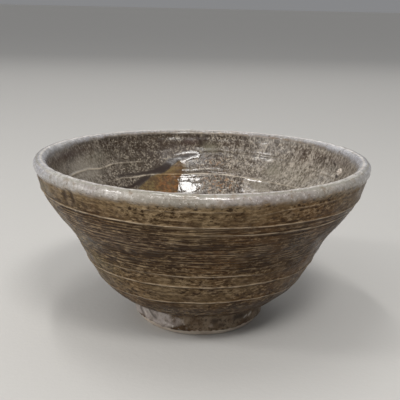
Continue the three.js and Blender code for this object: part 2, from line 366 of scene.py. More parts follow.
def evenly(points, step):
    """The same polyline with points at an even distance, and the length at each."""
    gaps = np.linalg.norm(np.diff(points, axis=0), axis=1)
    length = np.concatenate([[0], np.cumsum(gaps)])
    even = np.linspace(0, length[-1], int(length[-1] / step) + 1)
    return even, np.stack([np.interp(even, length, points[:, k]) for k in (0, 1)], 1)


def softened(points, reach):
    """Takes the kinks out of an evenly spaced polyline, leaving its two ends."""
    weights = np.hanning(2 * reach + 1)
    weights /= weights.sum()
    padded = np.pad(points, ((reach, reach), (0, 0)), mode="reflect", reflect_type="odd")
    return np.stack([np.convolve(padded[:, k], weights, "valid") for k in (0, 1)], 1)


def bowl_section():
    """Lengths and points of the whole finished section, from the foot to the axis inside."""
    start, neck = np.array(WALL_START), np.array(NECK)
    controls = start + np.array(WALL_SHAPE) * (neck - start)
    outside = spline(controls, 300)
    last = len(controls) - 1
    thickness = np.interp(range(last + 1), [HIP_STATION, last], [WALL_AT_HIP, WALL_AT_NECK])
    inner_controls = inset(controls, thickness)[HIP_STATION:][::-1]
    floor = [
        (POOL_RADIUS, FLOOR_HEIGHT + POOL_DEPTH),
        (POOL_RADIUS / 2, FLOOR_HEIGHT + POOL_DEPTH / 6),
        (0, FLOOR_HEIGHT),
    ]
    inside = spline(np.vstack([inner_controls, floor]), 300)
    whole = np.vstack([outside, lip_arc(-55, 188, 90), inside])
    length, points = evenly(whole, 0.1)
    points = softened(points, 12)
    points[-1] = (0, FLOOR_HEIGHT)
    return length, points


LENGTH, SECTION = bowl_section()
CROWN = int(np.argmax(SECTION[:, 1]))


def section_at(path):
    """Radius and height of the section at path lengths."""
    return np.stack([np.interp(path, LENGTH, SECTION[:, k]) for k in (0, 1)])


def path_outside(height):
    """Path length where the outer wall or the lip's outside has a height."""
    return np.interp(height, SECTION[:CROWN + 1, 1], LENGTH[:CROWN + 1])


def path_inside(height):
    """Path length where the inner wall or the lip's inside has a height."""
    return np.interp(-height, -SECTION[CROWN:, 1], LENGTH[CROWN:])


# Waves and relief.

def level_waves(height, turn, seed, pitches, lobes, count):
    """Lines that run round the bowl, with pitches in mm and strength changing along them."""
    rng = np.random.default_rng(seed)
    total = 0 * (height + turn)
    for _ in range(count):
        pitch = pitches[0] * (pitches[1] / pitches[0]) ** rng.random()
        phase, start = rng.uniform(0, TAU, 2)
        lobe = rng.integers(0, lobes + 1)
        sway = 0.25 * np.sin(turn + start)
        total += np.cos(TAU * (height + sway) / pitch + phase) * np.cos(lobe * turn + start)
    return total / math.sqrt(count / 4)


def rough_waves(height, turn, seed, size, count, radius=60.0):
    """Even unevenness over a wall, with waves of about one size in mm each way."""
    rng = np.random.default_rng(seed)
    total = 0 * (height + turn)
    for _ in range(count):
        heading = rng.uniform(0, math.pi)
        pitch = size * rng.uniform(0.7, 1.5)
        lobe = round(TAU * radius / pitch * math.cos(heading))
        climb = TAU / pitch * math.sin(heading)
        total += np.cos(lobe * turn + climb * height + rng.uniform(0, TAU))
    return total / math.sqrt(count / 2)


def near(value, middle, half):
    """Soft hill of height 1 round a middle, falling away over its half width."""
    return np.exp(-(((value - middle) / half) ** 2))


def step_up(value, middle, fade):
    """0 below a middle and 1 above it, changing over a distance."""
    return 1 / (1 + np.exp(-np.clip((value - middle) / fade, -30, 30)))


def turn_gap(turn, middle):
    """Signed angle in degrees between a turn and a middle in degrees."""
    return (np.degrees(turn) - middle + 180) % 360 - 180


def by_turn(turn, table):
    """Value at a turn, from a table by turns in degrees that closes on itself."""
    return np.interp(np.degrees(turn), list(table), list(table.values()), period=360)


def rings(height, turn, ridges, seed):
    """Relief of a list of throwing ridges, and how much of a crest or a groove a place is."""
    rng = np.random.default_rng(seed)
    relief, crest, groove = (0 * (height + turn) for _ in range(3))
    for levels, swell, rise, half, strengths in ridges:
        phase = rng.uniform(0, TAU, 2)
        wander = 0.06 * np.sin(11 * turn + phase[0]) + 0.04 * np.sin(26 * turn + phase[1])
        away = height - by_turn(turn, levels) - wander
        strength = by_turn(turn, strengths)
        sharp = near(away, 0, half)
        beside = near(away, -0.95, 0.45) + 0.6 * near(away, 0.85, 0.4)
        relief += swell * near(away, 0, SWELL_WIDTH) * (0.5 + 0.5 * strength)
        relief += rise * (sharp - 0.45 * beside) * strength
        shown = strength * min(1, rise / 0.17)
        crest = np.maximum(crest, sharp * shown)
        groove = np.maximum(groove, beside * shown)
    return relief, crest, groove


def strokes(height, turn, lines, radius=57.0, fade=0.16):
    """How deep in one of a list of strokes, each with its middle line and half widths."""
    total = 0 * (height + turn)
    for line in lines:
        for (turn_a, level_a, half_a), (turn_b, level_b, half_b) in zip(line, line[1:]):
            reach = math.radians(turn_b - turn_a) * radius
            rise = level_b - level_a
            across = np.radians(turn_gap(turn, turn_a)) * radius
            up = height - level_a
            share = np.clip((across * reach + up * rise) / (reach ** 2 + rise ** 2), 0, 1)
            away = np.hypot(across - share * reach, up - share * rise)
            half = half_a + share * (half_b - half_a)
            total = np.maximum(total, step_up(half - away, 0, fade))
    return total


def random_streaks(seed, count, turns, heights, halves):
    """Scattered short level streaks, with turns and heights in ranges."""
    rng = np.random.default_rng(seed)
    lines = []
    for _ in range(count):
        turn, height = rng.uniform(*turns), rng.uniform(*heights)
        half = rng.uniform(*halves)
        reach, slant = rng.uniform(0.5, 4.0), rng.normal(0, 0.3)
        lines.append([(turn, height, half), (turn + reach, height + slant, half * 0.7)])
    return lines


def spots(height, turn, places):
    """Soft places added up, each with its turn, height, half widths and amount."""
    total = 0 * (height + turn)
    for middle, level, half_turn, half_height, amount in places:
        away = near(turn_gap(turn, middle), 0, half_turn) * near(height, level, half_height)
        total += amount * away
    return total


def patch_sums(height, turn):
    """Changes of tone and of grains, and shares of green and red, from all inner patches."""
    return [spots(height, turn, [(*patch[:4], patch[column]) for patch in INNER_PATCHES])
            for column in (4, 5, 6, 7)]


def outer_relief(height, turn):
    """Relief of the outside, and the marks that its colours follow."""
    relief, crest, groove = rings(height, turn, OUTER_RIDGES, 11)
    combed = level_waves(height, turn, 21, (1.0, 2.4), 5, 40)
    dashes = level_waves(height, turn, 22, (0.8, 1.6), 40, 56)
    low, high = COMBED_BAND
    busy = 0.2 + 0.8 * step_up(height, low, 1.2) * step_up(-height, -high, 0.7)
    comb = busy * (0.5 * combed + 0.6 * dashes)
    slow = rough_waves(height, turn, 23, 14, 20)
    small = rough_waves(height, turn, 24, 3.4, 30)
    lines = POOLED_STREAKS + random_streaks(25, 26, (62, 300), (24, 68), (0.25, 1.0))
    pool = strokes(height + 0.2 * small, turn, lines, 58, 0.2)
    # Tone by height: painted shade low on the bowl and painted light in the band under the lip,
    # over the glaze's own bands.
    tone = np.interp(height, list(OUTER_TONE_LIGHT_AND_SHADE), list(OUTER_TONE_LIGHT_AND_SHADE.values())) + 0.2 * slow
    # Painted shade on the bowl's right side.
    tone = tone - 0.95 * near(turn_gap(turn, SHADED_SIDE), 0, SHADED_SIDE_HALF)
    lively = by_turn(turn, OUTER_LIVELY)
    relief = relief + COMB_RELIEF * comb - STREAK_RELIEF * pool
    relief = relief + UNEVEN_OUTSIDE[0] * slow + UNEVEN_OUTSIDE[1] * small
    return relief, {
        "crest": crest, "groove": groove, "comb": comb * lively, "busy": busy, "pool": pool,
        # Calmer under the lip, so fewer dark marks there: partly painted light.
        "tone": tone, "lively": lively * (1 - 0.5 * near(height, *CALM_NECK)),
        "green": spots(height, turn, OUTER_GREENS), "red": spots(height, turn, OUTER_REDS)}


def amber_depth(height, turn):
    """Distance in mm from the edge of the amber run, positive in it."""
    levels, left, right = (np.array(column, float) for column in zip(*AMBER_EDGES))
    gap = turn_gap(turn, AMBER_MIDDLE)
    left_gap = np.interp(height, levels, left) - AMBER_MIDDLE - gap
    right_gap = gap - (np.interp(height, levels, right) - AMBER_MIDDLE)
    across = np.radians(np.minimum(left_gap, right_gap)) * AMBER_RADIUS
    ends = np.minimum(height - levels[0], levels[-1] - height)
    return np.minimum(across, ends) + 0.3 * rough_waves(height, turn, 51, 3.2, 20, 50)


def inner_relief(height, turn):
    """Relief of the inside, and the marks that its colours follow."""
    relief, crest, _ = rings(height, turn, INNER_RINGS, 31)
    main_ring = by_turn(turn, MAIN_RING)
    under = np.clip(height - main_ring + SHELF_HEIGHT, 0, SHELF_HEIGHT)
    shelf = SHELF_CURVE * under ** 2 * step_up(main_ring - height, -0.3, 0.5)
    slow = rough_waves(height, turn, 33, 16, 20, 50)
    small = rough_waves(height, turn, 34, 3.2, 30, 50)
    tone, grains, green, red = patch_sums(height, turn)
    # Tone by turn, partly painted light and shade: lighter where the inner wall faces the light.
    tone = tone + by_turn(turn, INNER_TONE_LIGHT_AND_SHADE) + 0.15 * slow
    run = strokes(height + 0.15 * small, turn, DARK_RUNS)
    amber = step_up(amber_depth(height, turn), 0.1, 0.3) * (1 - 0.9 * run)
    sleek = np.clip(run + amber - grains, 0, 1)
    gloss = 0.5 * sleek
    for *place, amount in GLOSSY_PLACES:
        away = spots(height, turn, [(*place, GLOSSY_TOP)])
        gloss = np.maximum(gloss, np.clip(away, 0, 1) * amount)
    hook = strokes(height, turn, GLOSSY_STROKES, 63)
    gloss = (gloss - spots(height, turn, SATIN_PLACES)) * (1 - hook) + hook
    relief = relief + shelf * by_turn(turn, SHELF) + RUN_RELIEF * run
    relief = relief + UNEVEN_INSIDE[0] * slow + UNEVEN_INSIDE[1] * small
    return relief, {
        "crest": crest, "pool": run, "tone": tone, "amber": amber, "gloss": gloss,
        "grainy": by_turn(turn, INNER_GRAINY) * (1 - sleek) * (1 - 0.7 * np.clip(gloss, 0, 1)),
        "streaky": by_turn(turn, INNER_STREAKY) * (1 - sleek),
        "orange": by_turn(turn, INNER_ORANGE) - 0.5 * step_up(height, ORANGE_TOP, 0.4),
        "green": green, "red": red, "warm": spots(height, turn, WARM_PLACES)}


def rim_edges(turn):
    """Heights of the pale coat's edge, outside and inside."""
    centre = BOWL_HEIGHT - LIP_RADIUS
    outside = centre - 0.75 + 0.4 * np.sin(2 * turn + 0.2)
    inside = centre + 0.45 + 0.8 * np.sin(turn + 4.2)
    return outside, inside


def thrown(radius, height, turn):
    """Place on the bowl, in metres, with the slight error of hand throwing."""
    up = height / BOWL_HEIGHT
    swell = np.sin(3 * turn + OUT_OF_ROUND_PHASE) * up
    wave = RIM_LIFT * np.sin(2 * turn + RIM_LIFT_PHASE) + RIM_TILT * np.cos(turn)
    lift = wave * (radius / MOUTH_RADIUS) * up ** 3
    wide = radius * (1 + (OUT_OF_ROUND / MOUTH_RADIUS) * swell)
    return np.stack([wide * np.sin(turn), -wide * np.cos(turn), height + lift], -1) * MM


def glazed_surface(path, turn, depth=0.0):
    """Places and surface marks of the finished bowl at path lengths and turns."""
    radius, height = section_at(path)
    step = 0.3
    along_r, along_z = section_at(path + step) - section_at(path - step)
    size = np.hypot(along_r, along_z) + 1e-9
    out_r, out_z = along_z / size, -along_r / size

    from_crown = path - LENGTH[CROWN]
    outside = step_up(-from_crown, LIP_REACH, LIP_FADE)
    inside = step_up(from_crown, LIP_REACH, LIP_FADE)
    outer, outer_marks = outer_relief(height, turn)
    inner, inner_marks = inner_relief(height, turn)
    flat = np.clip((radius - 8) / 14, 0, 1)
    rim = UNEVEN_LIP[0] * rough_waves(path, turn, 41, 9, 14, 70)
    rim = rim + UNEVEN_LIP[1] * rough_waves(path, turn, 42, 2.6, 24, 70)
    relief = outer * outside * step_up(path, 1.2, 0.4) + inner * inside * flat
    relief = relief + rim * (1 - outside - inside)
    shift = relief - depth
    edge_out, edge_in = rim_edges(turn)[0], by_turn(turn, PALE_INSIDE)
    # Painted highlight just inside the lip's crown, and painted shade a little below it on the
    # outside.
    lip = near(from_crown, 0.4, 0.6) - near(from_crown, -1.3, 0.65)
    marks = {
        "rim": np.minimum(path - path_outside(edge_out), 1.7 * (path_inside(edge_in) - path)),
        "lip": lip,
        # Painted cool reflection on the lip, by turn.
        "cool": by_turn(turn, LIP_PAINTED_SHEEN) + 0 * path,
        # How dull the lip is by turn: partly its own duller patches, partly painted shade.
        "dull": by_turn(turn, LIP_DULL_AND_SHADE) + 0 * path}
    for name in {*outer_marks, *inner_marks}:
        marks[name] = outer_marks.get(name, 0) * outside + inner_marks.get(name, 0) * inside
    return thrown(radius + out_r * shift, height + out_z * shift, turn), marks


# Meshes.

def grid_mesh(name, places, marks, closed):
    """Mesh from a grid of places, stations by turns; the turns always close on themselves."""
    rows, turns = places.shape[:2]
    low = np.arange(rows * turns).reshape(rows, turns)
    high = np.roll(low, -1, axis=0)
    if not closed:
        low, high = low[:-1], high[:-1]
    corners = [low, np.roll(low, -1, axis=1), np.roll(high, -1, axis=1), high]
    quads = np.stack(corners, -1).reshape(-1, 4)
    mesh = bpy.data.meshes.new(name)
    mesh.vertices.add(rows * turns)
    mesh.vertices.foreach_set("co", places.reshape(-1, 3).astype(np.float32).ravel())
    mesh.loops.add(quads.size)
    mesh.loops.foreach_set("vertex_index", quads.astype(np.int32).ravel())
    mesh.polygons.add(len(quads))
    mesh.polygons.foreach_set("loop_start", np.arange(0, quads.size, 4, dtype=np.int32))
    mesh.update(calc_edges=True)
    for mark, values in sorted(marks.items()):
        layer = mesh.attributes.new(mark, "FLOAT", "POINT")
        layer.data.foreach_set("value", values.astype(np.float32).ravel())
    return mesh


def finish_mesh(mesh):
    """Welds doubled points, shades smooth and keeps the hard edges."""
    work = bmesh.new()
    work.from_mesh(mesh)
    bmesh.ops.remove_doubles(work, verts=work.verts, dist=1e-7)
    bmesh.ops.dissolve_degenerate(work, dist=1e-8, edges=work.edges)
    work.to_mesh(mesh)
    work.free()
    mesh.polygons.foreach_set("use_smooth", np.ones(len(mesh.polygons), bool))
    mesh.set_sharp_from_angle(angle=math.radians(HARD_EDGE))


def add_object(name, data):
    made = bpy.data.objects.new(name, data)
    bpy.context.scene.collection.objects.link(made)
    return made


def add_piece(name, places, marks, closed, material, slot, node):
    """Makes a piece from a grid of places and hides the CAD node that it stands for."""
    mesh = grid_mesh(name, places, marks, closed)
    finish_mesh(mesh)
    piece = add_object(name, mesh)
    mesh.materials.append(material)
    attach(piece, "root")
    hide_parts(node)


def ring_of_turns(count):
    return (np.arange(count) * TAU / count)[None, :]


def stacked(face, back):
    """Rows of a coat's face and then of its back, with their marks."""
    unmarked = np.zeros(back[0].shape[:2])
    marks = {name: np.concatenate([values, back[1].get(name, unmarked)])
             for name, values in face[1].items()}
    return np.concatenate([face[0], back[0]]), marks


def coat_surface(start, end, stations, turn):
    """A closed coat of glaze between two path lengths, each of which may follow the turn."""
    up = np.linspace(0, 1, stations)[:, None]
    down = np.linspace(1, 0, max(6, stations // 8))[:, None]
    return stacked(
        glazed_surface(start + (end - start) * up, turn),
        glazed_surface(start + (end - start) * down, turn, COAT))


def lens_grid(turn, height, half_width, half_height, rows, spokes):
    """Turns and heights of an oval patch of the inner wall: its face outwards, then its back."""
    share = np.concatenate([np.linspace(0, 1, rows), np.linspace(1, 0, rows)])[:, None]
    angle = ring_of_turns(spokes)
    reach = float(section_at(path_inside(height))[0])
    turns = math.radians(turn) + share * np.cos(angle) * half_width / reach
    heights = height + share * np.sin(angle) * half_height
    front = np.arange(2 * rows)[:, None] < rows
    return turns, heights, share, front


def amber_surface():
    """The amber run: a thick skin of glaze that comes out of the inner coat."""
    turn, height, _, front = lens_grid(*AMBER_LENS)
    depth = amber_depth(height, turn)
    rise = np.where(front, -0.10 + 0.34 * step_up(depth, 1.0, 0.7), -0.45)
    return glazed_surface(path_inside(height), turn, -rise)


def grain_surface():
    """The stone grain: a blunt, uneven pebble half sunk in the inner coat."""
    turn, height, share, front = lens_grid(*GRAIN_LENS)
    uneven = 1 + 0.22 * rough_waves(height, turn, 61, 1.1, 16, 64)
    dome = np.sqrt(np.clip(1 - share ** 2, 0, 1))
    rise = np.where(front, -0.1 + 1.05 * dome * uneven, -0.3)
    return glazed_surface(path_inside(height), turn, -rise)


def foot_ring_surface(turn):
    """The foot ring: a closed section with softened corners and faint turning lines."""
    side = FOOT_RADIUS - FOOT_COAT - SEAM
    top = FOOT_HEIGHT - SEAM
    bevelled = FOOT_INNER_RADIUS + FOOT_INNER_BEVEL
    corners = np.array([
        (bevelled, 0), (FOOT_CONTACT_RADIUS - FOOT_COAT, 0),
        (side - FOOT_TAPER, FOOT_CHAMFER_HEIGHT), (side, FOOT_HEIGHT / 2), (side, top),
        (FOOT_INNER_RADIUS, top), (FOOT_INNER_RADIUS, FOOT_INNER_BEVEL), (bevelled, 0)])
    outline = evenly(corners, 0.22)[1][:-1]
    soft = (np.roll(outline, 1, axis=0) + 2 * outline + np.roll(outline, -1, axis=0)) / 4
    radius, height = soft[:, :1], soft[:, 1:]
    worn = rough_waves(height + radius, turn, 71, 5, 20, 27)
    lines = level_waves(height + radius, turn, 72, (0.7, 1.8), 3, 16)
    below = np.clip((FOOT_HEIGHT - 1 - height) / 3, 0, 1)
    middle = (FOOT_INNER_RADIUS + side) / 2
    outward = np.clip((radius - middle) / 2, -1, 1)
    radius = radius + outward * below * (0.07 * worn + 0.03 * lines)
    height = height + np.clip(0.05 + 0.05 * worn, 0, 0.3) * near(height, 0, 1.2)
    return thrown(radius, height, turn), {}


def foot_coat_surface(turn):
    """The thin coat on the foot, with a wavy lower edge and a soft bead along it."""
    top = FOOT_HEIGHT - SEAM
    start = FOOT_COAT_START + 0.5 * np.sin(5 * turn) * np.cos(2 * turn + 1)
    start = start + 0.12 * rough_waves(0 * turn, turn, 73, 2.5, 12, 28)
    inside = FOOT_RADIUS - FOOT_COAT
    up = np.linspace(0, 1, 60)[:, None]
    height = start + (top - start) * up
    uneven = rough_waves(height, turn, 74, 5, 24, 28)
    bead = 1 - np.exp(-(height - start) / 0.3)
    face = inside + 0.1 + (FOOT_COAT - 0.1) * bead + 0.05 * uneven * bead
    down = up[::-6]
    back = start + (top - start) * down
    cream = by_turn(turn, FOOT_CREAM) + 0.12 * uneven
    cream = cream - 0.35 * step_up(height, 8.6, 0.3) - 0.5 * step_up(-height, -3.9, 0.3)
    marks = {
        "cream": cream, "flecks": spots(height, turn, FOOT_FLECKS),
        "light": strokes(height, turn, FOOT_LIGHTS, 28.6),
        "pool": strokes(height + 0.15 * uneven, turn, FOOT_DARKS, 28.6, 0.4)}
    return stacked(
        (thrown(face, height, turn), marks),
        (thrown(inside, back, turn), {}))


def clay_surface(turn):
    """The clay body: its turned underside inside the foot, then all that lies under the coats."""
    boss = FOOT_INNER_RADIUS - SEAM
    radius = np.linspace(0, boss, 90)[:, None]
    lines = level_waves(radius, turn, 81, (1.4, 3.2), 2, 12)
    rough = rough_waves(radius, turn, 82, 3, 20, 12)
    settle = np.clip(radius / 5, 0, 1)
    spiral = SPIRAL_DEPTH * np.cos(TAU * radius / SPIRAL_PITCH - turn)
    turned = 0.05 * lines + 0.05 * rough - KNOB[0] * near(radius, 0, KNOB[1]) - spiral
    height = RECESS_DEPTH + settle * turned - KNOB[0] * (1 - settle)
    base = thrown(radius, height, turn)
    seat_radius = FOOT_RADIUS - FOOT_COAT - SEAM
    step = np.array([(boss, FOOT_HEIGHT), (seat_radius, FOOT_HEIGHT)])
    seat = thrown(step[:, :1], step[:, 1:], turn)
    path = np.linspace(0.4, LENGTH[-1], 150)[:, None]
    hidden = glazed_surface(path, turn, COAT + SEAM)[0]
    return np.concatenate([base, seat, hidden]), {}


# Shader helpers.

class Shader:
    """One material's node tree, with short calls that add a node and link its inputs."""

    def __init__(self, name):
        self.material = bpy.data.materials.new(name)
        self.material.use_nodes = True
        self.tree = self.material.node_tree
        self.tree.nodes.clear()
        self.out = self.tree.nodes.new("ShaderNodeOutputMaterial")
        self.place = self.node("TexCoord", "Object", {})

    def put(self, socket, value):
        if isinstance(value, bpy.types.NodeSocket):
            self.tree.links.new(value, socket)
        elif socket.type == "RGBA":
            socket.default_value = (*value, 1)
        else:
            socket.default_value = value

    def node(self, kind, output, inputs, **settings):
        """Adds a node, links or sets its inputs and gives back one of its outputs."""
        made = self.tree.nodes.new("ShaderNode" + kind)
        for key, value in settings.items():
            setattr(made, key, value)
        for key, value in inputs.items():
            self.put(made.inputs[key], value)
        return made.outputs[output]

    def mark(self, name):
        return self.node("Attribute", "Fac", {}, attribute_name=name)

    def stretched(self, rise):
        """Places with their heights multiplied, so that patterns lie flat or stand up."""
        if rise == 1.0:
            return self.place
        inputs = {"Vector": self.place, "Scale": (1, 1, rise)}
        return self.node("Mapping", "Vector", inputs, vector_type="POINT")

    def noise(self, scale, detail=3, rough=0.6, rise=1.0, warp=0.0):
        return self.node("TexNoise", "Fac", {
            "Vector": self.stretched(rise), "Scale": scale, "Detail": detail,
            "Roughness": rough, "Distortion": warp})

    def swing(self, amount, *scale, **noise):
        """Noise round zero that reaches about an amount each way."""
        return self.times(self.plus(self.noise(*scale, **noise), -0.5), 2.5 * amount)

    def cells(self, scale):
        inputs = {"Vector": self.place, "Scale": scale}
        return self.node("TexVoronoi", "Distance", inputs, feature="F1")

    def range(self, value, low, high, to_low=0.0, to_high=1.0):
        inputs = {"Value": value, "From Min": low, "From Max": high,
                  "To Min": to_low, "To Max": to_high}
        return self.node("MapRange", "Result", inputs, interpolation_type="SMOOTHSTEP")

    def math(self, operation, a, b=0.0):
        return self.node("Math", 0, {0: a, 1: b}, operation=operation)

    def times(self, a, b):
        return self.math("MULTIPLY", a, b)

    def plus(self, a, b):
        return self.math("ADD", a, b)

    def mix(self, share, a, b):
        inputs = {"Factor": share, "A": a, "B": b}
        return self.node("Mix", "Result", inputs, data_type="RGBA")

    def layer(self, color, shade, value, low, high, amount=1.0, share=1.0):
        """Lays a shade over a colour as a value goes from low to high, up to an amount."""
        cover = self.times(self.range(value, low, high, 0, amount), share)
        return self.mix(cover, color, shade)

    def layers(self, color, rows):
        """Lays several shades over a colour, one after the other."""
        for row in rows:
            color = self.layer(color, *row)
        return color

    def bump(self, height, distance, strength=1.0):
        inputs = {"Height": height, "Distance": distance, "Strength": strength}
        return self.node("Bump", "Normal", inputs)

    def finish(self, color, rough, normal, shine):
        """Joins up the surface, whose shine is how strongly it mirrors."""
        surface = self.node("BsdfPrincipled", "BSDF", {
            "Base Color": color, "Roughness": rough, "Normal": normal,
            "Specular IOR Level": shine})
        self.put(self.out.inputs["Surface"], surface)
        return self.material


# Glaze colours, linear.
OLIVE_TAN = (0.195, 0.136, 0.072)
UMBER = (0.072, 0.038, 0.014)
WARM_BROWN = (0.135, 0.066, 0.023)
OLIVE_BROWN = (0.125, 0.098, 0.042)
PLUM_BROWN = (0.115, 0.08, 0.068)
DARK_BROWN = (0.028, 0.0135, 0.005)
TAUPE = (0.205, 0.15, 0.098)
TAN = (0.35, 0.255, 0.15)
PALE_TAN = (0.5, 0.4, 0.28)
PALE_GLAZE = (0.41, 0.38, 0.34)
LILAC_GREY = (0.33, 0.295, 0.295)
# Bluish grey of the painted reflection on the lip's sides.
PAINTED_SHEEN_GREY = (0.36, 0.38, 0.43)
DULL_GREY = (0.22, 0.2, 0.165)
# Pale of the lip's mottling and of its painted highlight, then the painted shade below the crown.
LIP_PALE_AND_HIGHLIGHT = (0.66, 0.62, 0.57)
LIP_PAINTED_SHADE = (0.24, 0.23, 0.19)
INNER_DARK = (0.048, 0.034, 0.023)
INNER_GREY = (0.255, 0.225, 0.185)
INNER_PALE = (0.43, 0.37, 0.285)
INNER_TAUPE = (0.42, 0.37, 0.31)
GREEN_GREY = (0.185, 0.17, 0.115)
RED_BROWN = (0.085, 0.05, 0.042)
RUN_BROWN = (0.022, 0.012, 0.008)
AMBER = (0.2, 0.086, 0.025)
AMBER_OLIVE = (0.15, 0.105, 0.04)
AMBER_PALE = (0.3, 0.2, 0.1)
WARM_GRAIN = (0.3, 0.15, 0.06)
CREAM = (0.41, 0.36, 0.33)
FOOT_PALE = (0.62, 0.58, 0.52)

# Pale and dark of the bare clay on the foot, paler in part as painted light for the shade it lies
# in, and in the body, and of the stone grain.
FOOT_CLAY_WITH_PAINTED_LIGHT = (0.64, 0.56, 0.47), (0.47, 0.39, 0.32)
BODY_CLAY = (0.26, 0.21, 0.155), (0.13, 0.1, 0.07)
STONE = (0.58, 0.52, 0.45), (0.34, 0.28, 0.23)

# How strongly each surface mirrors.
BROWN_SHINE = 0.10
PALE_SHINE = 0.5
DARK_SHINE = 0.42
FOOT_SHINE = 0.3
CLAY_SHINE = 0.3
STONE_SHINE = 0.5
FLOOR_SHINE = 0.2


def brown_colour(s):
    """Mottled brown of the outside, with streaks and dashes along the throwing lines, painted
    shade low on the bowl, on its right side and in the grooves, painted light under the lip, and
    pale crests that are partly painted highlight.
    """
    tone = s.plus(s.mark("tone"), s.swing(0.5, 28, rough=0.55, rise=2.6))
    tone = s.plus(tone, s.swing(0.6, 120, rise=2.6))
    color = s.layers(s.mix(s.range(tone, -1.0, 1.0), UMBER, OLIVE_TAN), [
        # Tan where the tone passes 1, under the lip: painted light.
        (TAN, tone, 1.0, 2.2, 0.75),
        (WARM_BROWN, s.noise(36, 2, 0.5), 0.48, 0.66, 0.5),
        (TAUPE, s.noise(150, 4, rise=2.4), 0.50, 0.68, 0.5)])
    green = s.range(s.noise(80), 0.35, 0.6, 0.3, 0.9)
    color = s.mix(s.times(s.mark("green"), green), color, OLIVE_BROWN)
    color = s.mix(s.times(s.mark("red"), 0.75), color, PLUM_BROWN)
    lively, busy, comb = s.mark("lively"), s.mark("busy"), s.mark("comb")
    calm = s.plus(s.times(busy, -0.75), 0.85)
    maze = s.math("ABSOLUTE", s.plus(s.noise(420, 2, 0.5, 1.5), -0.5))
    streaks = s.noise(64, 4, 0.62, 16.0, 0.2)
    streaky = s.times(s.plus(s.times(busy, 0.5), 0.2), lively)
    dashes = s.noise(250, rise=4.5, warp=0.2)
    dashed = s.times(s.plus(s.times(busy, 0.5), 0.4), lively)
    dots = s.noise(520, rise=1.8)
    patchy = s.range(s.noise(50, rough=0.55, rise=2.0), 0.40, 0.58, 0.1, 0.65)
    patchy = s.plus(patchy, s.times(calm, 0.42))
    broken = s.range(s.noise(90, rise=1.2), 0.42, 0.60)
    crest_breaks = s.range(s.noise(200), 0.35, 0.6, 0.25, 0.7)
    color = s.layers(color, [
        # Dark brown where the tone falls low, low on the bowl and on its right side: painted
        # shade.
        (DARK_BROWN, tone, -0.8, -1.6, 0.7),
        (UMBER, maze, 0.035, 0.0, 0.4, calm),
        (DARK_BROWN, streaks, 0.50, 0.60, 1, streaky),
        (DARK_BROWN, dashes, 0.52, 0.59, 1, dashed),
        (TAN, dashes, 0.44, 0.37, 0.7, dashed),
        (DARK_BROWN, dots, 0.53, 0.61, 1, patchy),
        (TAN, dots, 0.44, 0.37, 0.6, patchy),
        (TAN, comb, 0.4, 1.0, 0.6, broken),
        (DARK_BROWN, comb, -0.2, -0.7, 0.75),
        # Darker in the grooves beside the ridges, most of all under them: partly painted shade.
        (DARK_BROWN, s.mark("groove"), 0.25, 0.9, 0.45),
        # Paler crests of the throwing ridges, broken along their length: partly painted
        # highlight.
        (PALE_TAN, s.mark("crest"), 0.25, 0.8, 1, crest_breaks)])
    return s.mix(s.times(s.mark("pool"), 0.85), color, DARK_BROWN)


def pale_colour(s):
    """Grey-cream of the lip, with lilac patches, fine mottling, brown flecks and dark pits, a
    painted highlight along the crown with painted shade below it, a painted cool reflection on
    the sides, and duller turns that are partly painted shade.
    """
    cool, lip, mottle = s.mark("cool"), s.mark("lip"), s.noise(800, rough=0.7)
    dull = s.plus(s.mark("dull"), s.swing(0.3, 130))
    color = s.mix(s.range(s.noise(36, rough=0.5), 0.42, 0.66), PALE_GLAZE, LILAC_GREY)
    # Painted bluish reflection of the room on the lip's sides.
    return s.layers(s.mix(s.times(cool, 0.75), color, PAINTED_SHEEN_GREY), [
        # Duller at some turns: partly the glaze's own duller patches, partly painted shade.
        (DULL_GREY, dull, 0, 1),
        (DULL_GREY, mottle, 0.50, 0.62, 0.45),
        (LIP_PALE_AND_HIGHLIGHT, mottle, 0.46, 0.36, 0.4),
        # Painted highlight along the crown, then painted shade just below it.
        (LIP_PALE_AND_HIGHLIGHT, lip, 0, 1, 0.7),
        (LIP_PAINTED_SHADE, lip, 0, -1, 0.7),
        (TAUPE, s.noise(300, 4), 0.52, 0.66, 0.6, s.plus(s.times(cool, -0.7), 1)),
        (UMBER, s.noise(900, 2), 0.60, 0.68, 0.5),
        (DARK_BROWN, s.cells(150), 0.075, 0.04, 0.85)])


def rim_share(s):
    """How much of the pale rim coat covers a place, fading in a ragged, streaked edge."""
    edge = s.plus(s.mark("rim"), s.swing(1.0, 320, 4, 0.65))
    edge = s.plus(edge, s.swing(0.9, 55, 2, 0.5))
    edge = s.plus(edge, s.swing(1.2, 240, rise=0.25))
    return s.range(edge, -2.1, 1.4, 0, 0.96)


def outside_glaze(name, shine):
    s = Shader(name)
    rim = rim_share(s)
    color = s.mix(rim, brown_colour(s), pale_colour(s))
    rough = s.range(s.noise(150), 0.3, 0.7, 0.26, 0.5)
    rough = s.times(rough, s.plus(s.times(rim, -0.65), 1))
    skin = s.plus(s.times(s.noise(320, rough=0.5), 0.6), s.times(s.noise(900, 2, 0.5), 0.4))
    return s.finish(color, rough, s.bump(skin, 0.0003, 0.6), shine)


